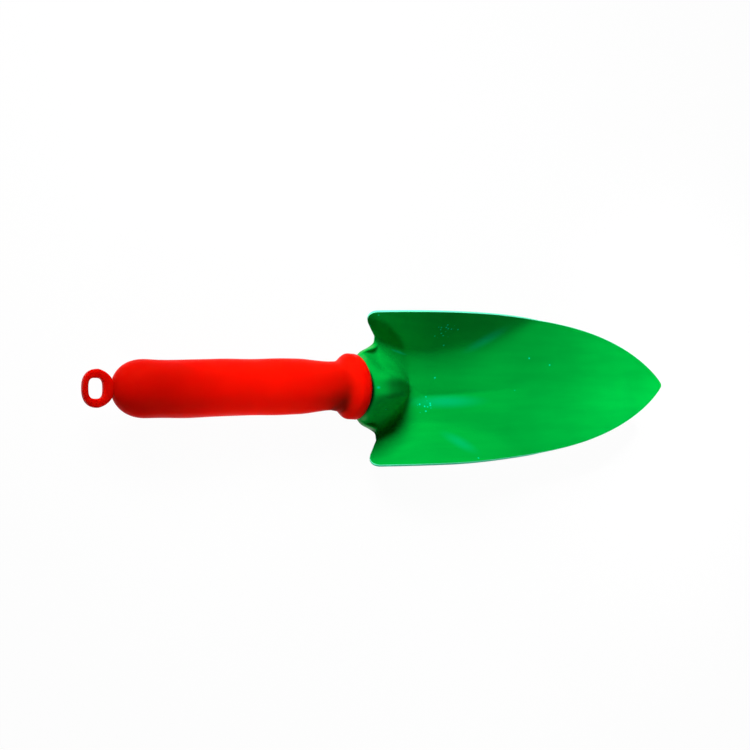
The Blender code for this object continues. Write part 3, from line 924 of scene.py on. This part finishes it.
def green_paint(colours):
    """Baked paint over pressed steel: slight orange peel, drawing marks and streaks, painted highlights,
    dust specks painted as bright glints, a painted highlight on the cut edge, and painted shade at the
    grip's mouth."""
    material, tree, shader = new_material("green baked paint")
    place = add_node(tree, "TexCoord").outputs["Object"]
    drawn = add_node(tree, "Mapping", {"Vector": place, "Scale": DRAWING_STRETCH}).outputs["Vector"]
    marks = pattern(tree, drawn, *DRAWING_MARKS)
    cloud = spread(tree, pattern(tree, place, *PAINT_CLOUDS), *PAINT_CLOUD_TONE)
    streak = spread(tree, pattern(tree, drawn, *PAINT_STREAKS), *PAINT_STREAK_TONE)
    colour = toned(tree, toned(tree, (*colours.paint,), cloud), streak)
    # Painted highlights where light would glint on the blade and neck
    for highlight_spot in PAINTED_HIGHLIGHTS:
        colour = covered(tree, colour, painted_highlight(tree, place, *highlight_spot), colours.paint_highlight)
    # Dust specks painted as bright glints
    colour = covered(tree, colour, glinting_dust_specks(tree, place), colours.dust_and_glint)
    # Painted highlight along the sheet's cut edge
    colour = covered(tree, colour, mark_of(tree, "rim"), colours.edge_highlight)
    # Painted shade: the collar's shadow on the neck at the grip's mouth
    colour = covered(tree, colour, mark_of(tree, "mouth"), colours.mouth_shade)
    peel = {"Height": pattern(tree, place, *ORANGE_PEEL), "Strength": 0.05, "Distance": 0.2 * MM}
    peeled = add_node(tree, "Bump", peel).outputs["Normal"]
    scored = {"Height": marks, "Strength": 0.05, "Distance": 0.2 * MM, "Normal": peeled}
    fill(tree, shader, {
        "Base Color": colour,
        "Roughness": spread(tree, marks, *PAINT_ROUGHNESS),
        "Normal": add_node(tree, "Bump", scored).outputs["Normal"],
        "Specular IOR Level": 0.02,
        "Specular Tint": (0.0, 1.0, 0.75, 1.0),
    })
    return material


def red_plastic(colours):
    """Soft moulded plastic: satin, with a fine grain, slow changes of tone, and painted shade darkening
    its end.
    """
    material, tree, shader = new_material("red moulded plastic")
    place = add_node(tree, "TexCoord").outputs["Object"]
    clouds = pattern(tree, place, *PLASTIC_CLOUDS)
    along = add_node(tree, "SeparateXYZ", {"Vector": place}).outputs["X"]
    colour = toned(tree, (*colours.plastic,), spread(tree, clouds, *PLASTIC_TONE))
    # Painted shade: darker towards the domed end, where the lamps reach less
    colour = toned(tree, colour, ramp(tree, along, SHADED_END_X, SHADED_END_FRONT, SHADED_END_TONE, 1.0))
    grain = {"Height": pattern(tree, place, *PLASTIC_GRAIN), "Strength": 0.08, "Distance": 0.1 * MM}
    fill(tree, shader, {
        "Base Color": colour,
        "Roughness": spread(tree, clouds, *PLASTIC_ROUGHNESS),
        "Normal": add_node(tree, "Bump", grain).outputs["Normal"],
        "Subsurface Weight": 0.85,
        "Subsurface Radius": (1.0, 0.1, 0.05),
        "Subsurface Scale": 9.0 * MM,
        "Specular IOR Level": 0.05,
        "Specular Tint": (1.0, 0.06, 0.0, 1.0),
    })
    return material


def seen_directly(tree):
    """One for rays from the camera, also mirrored or passed on, and nought for those that light."""
    path = add_node(tree, "LightPath").outputs
    either = sum_up(tree, "MAXIMUM", path["Is Camera Ray"], path["Is Glossy Ray"])
    return sum_up(tree, "MAXIMUM", either, path["Is Transmission Ray"])


def pale_floor(colours):
    """A white floor that keeps a faint shadow."""
    material, tree, shader = new_material("pale floor")
    fill(tree, shader, {
        "Base Color": (*colours.floor, 1.0),
        "Roughness": 0.9,
        "Specular IOR Level": 0.1,
    })
    white = add_node(tree, "Emission", {"Color": WHITE, "Strength": 1.0})
    share = sum_up(tree, "MULTIPLY", seen_directly(tree), FLOOR_WHITE)
    mixed = add_node(tree, "MixShader", {0: share, 1: shader.outputs[0], 2: white.outputs[0]})
    fill(tree, tree.nodes["Material Output"], {"Surface": mixed.outputs[0]})
    return material


def white_room():
    """A world that shows white, and lights the object only a little."""
    world = bpy.data.worlds.new("white room")
    world.use_nodes = True
    tree = world.node_tree
    strength = ramp(tree, seen_directly(tree), 0.0, 1.0, ROOM_LIGHT, ROOM_SEEN)
    fill(tree, tree.nodes["Background"], {"Color": WHITE, "Strength": strength})
    return world


def area_light(name, azimuth, elevation, side, beam, aim_x, watts):
    """A square lamp aimed at a point on the handle's X axis. Its azimuth runs from the blade's tip
    towards +Y and its elevation up from the handle's own level, in degrees as its beam is."""
    lamp = bpy.data.lights.new(name, "AREA")
    lamp.size = side
    lamp.spread = math.radians(beam)
    lamp.energy = watts
    up = math.radians(elevation)
    turn = math.radians(azimuth)
    out = Vector((math.cos(up) * math.cos(turn), math.cos(up) * math.sin(turn), math.sin(up)))
    aim = Vector((aim_x, 0.0, 0.0))
    move = lay()
    here = move @ (aim + LAMP_DISTANCE * out)
    there = move @ aim
    facing = (there - here).to_track_quat("-Z", "Y").to_matrix().to_4x4()
    add_object(name, lamp).matrix_world = Matrix.Translation(here) @ facing


def photo_camera():
    """The camera, tilted back towards the hang eye, turned a little to the side and rolled."""
    t, b, r = CAMERA_TILT, CAMERA_TURN, CAMERA_ROLL
    back = Vector((-math.sin(t) * math.cos(b), -math.sin(b), math.cos(t) * math.cos(b)))
    level = Vector((math.cos(t), 0.0, math.sin(t)))
    level = (level - back * level.dot(back)).normalized()
    high = back.cross(level)
    right = level * math.cos(r) + high * math.sin(r)
    up = high * math.cos(r) - level * math.sin(r)
    data = bpy.data.cameras.new("photo camera")
    data.sensor_width = CAMERA_SENSOR
    data.lens = CAMERA_LENS
    turn = Matrix((right, up, back)).transposed().to_4x4()
    stand = Matrix.Translation(Vector(CAMERA_AIM) + back * CAMERA_DISTANCE)
    camera = add_object("photo camera", data)
    camera.matrix_world = lay() @ stand @ turn
    bpy.context.scene.camera = camera


class TROWEL_OT_stage(bpy.types.Operator):
    """Set the floor, the lamps, the world and the photograph's camera"""

    bl_idname = "trowel.stage"
    bl_label = "Stage"

    def execute(self, context):
        scene = context.scene
        signs = np.array([[-1.0, -1.0, 0.0], [1.0, -1.0, 0.0], [1.0, 1.0, 0.0], [-1.0, 1.0, 0.0]])
        floor = mesh_object("floor", FLOOR_HALF_SIDE * signs, np.array([[0, 1, 2, 3]]))
        floor.data.materials.append(pale_floor(scene.trowel_colours))
        for lamp in LAMPS:
            area_light(*lamp)
        scene.world = white_room()
        photo_camera()
        scene.view_settings.view_transform = "Standard"
        return {"FINISHED"}


class TROWEL_OT_blade(bpy.types.Operator):
    """Make the painted blade, with its neck and rolled tang"""

    bl_idname = "trowel.blade"
    bl_label = "Blade"

    def execute(self, context):
        sizes = context.scene.trowel_sizes
        points, faces, rim = blade_surface(sizes.sheet, sizes.edge_round)
        blade = mesh_object("painted_blade", laid(points), faces)
        # The rim mark carries the painted highlight on the cut edge
        carry_mark(blade.data, "rim", rim)
        # The mouth mark carries the painted shade of the collar on the neck
        carry_mark(blade.data, "mouth", mouth_shade_mark(points))
        blade.data.materials.append(green_paint(context.scene.trowel_colours))
        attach(blade, "root")
        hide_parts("blade")
        return {"FINISHED"}


class TROWEL_OT_grip(bpy.types.Operator):
    """Make the moulded grip, with its collar and hang eye"""

    bl_idname = "trowel.grip"
    bl_label = "Grip"

    def execute(self, context):
        points, quads, fans = turned_sleeve(context.scene.trowel_sizes.grip_wander)
        grip = mesh_object("moulded_grip", laid(points), quads, fans)
        points, quads = eye_ring()
        whole = united(grip, mesh_object("hang_eye", laid(points), quads))
        whole.materials.clear()
        whole.materials.append(red_plastic(context.scene.trowel_colours))
        whole.shade_smooth()
        whole.set_sharp_from_angle(angle=SHARP_ANGLE)
        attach(grip, "root")
        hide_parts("grip")
        return {"FINISHED"}


class TROWEL_PT_sidebar(bpy.types.Panel):
    bl_idname = "TROWEL_PT_sidebar"
    bl_label = "Garden Trowel"
    bl_space_type = "VIEW_3D"
    bl_region_type = "UI"
    bl_category = "Trowel"

    def draw(self, context):
        column = self.layout.column()
        for group in (context.scene.trowel_sizes, context.scene.trowel_colours):
            for key in group.__annotations__:
                column.prop(group, key)
        for step in STEPS:
            column.operator(step.bl_idname)


STEPS = (TROWEL_OT_stage, TROWEL_OT_blade, TROWEL_OT_grip)
CLASSES = (TrowelSizes, TrowelColours, *STEPS, TROWEL_PT_sidebar)


def register():
    for cls in CLASSES:
        bpy.utils.register_class(cls)
    bpy.types.Scene.trowel_sizes = PointerProperty(type=TrowelSizes)
    bpy.types.Scene.trowel_colours = PointerProperty(type=TrowelColours)


def unregister():
    del bpy.types.Scene.trowel_colours
    del bpy.types.Scene.trowel_sizes
    for cls in reversed(CLASSES):
        bpy.utils.unregister_class(cls)


def main():
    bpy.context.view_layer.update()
    register()
    bpy.ops.trowel.stage()
    bpy.ops.trowel.blade()
    bpy.ops.trowel.grip()


if __name__ == "__main__":
    main()
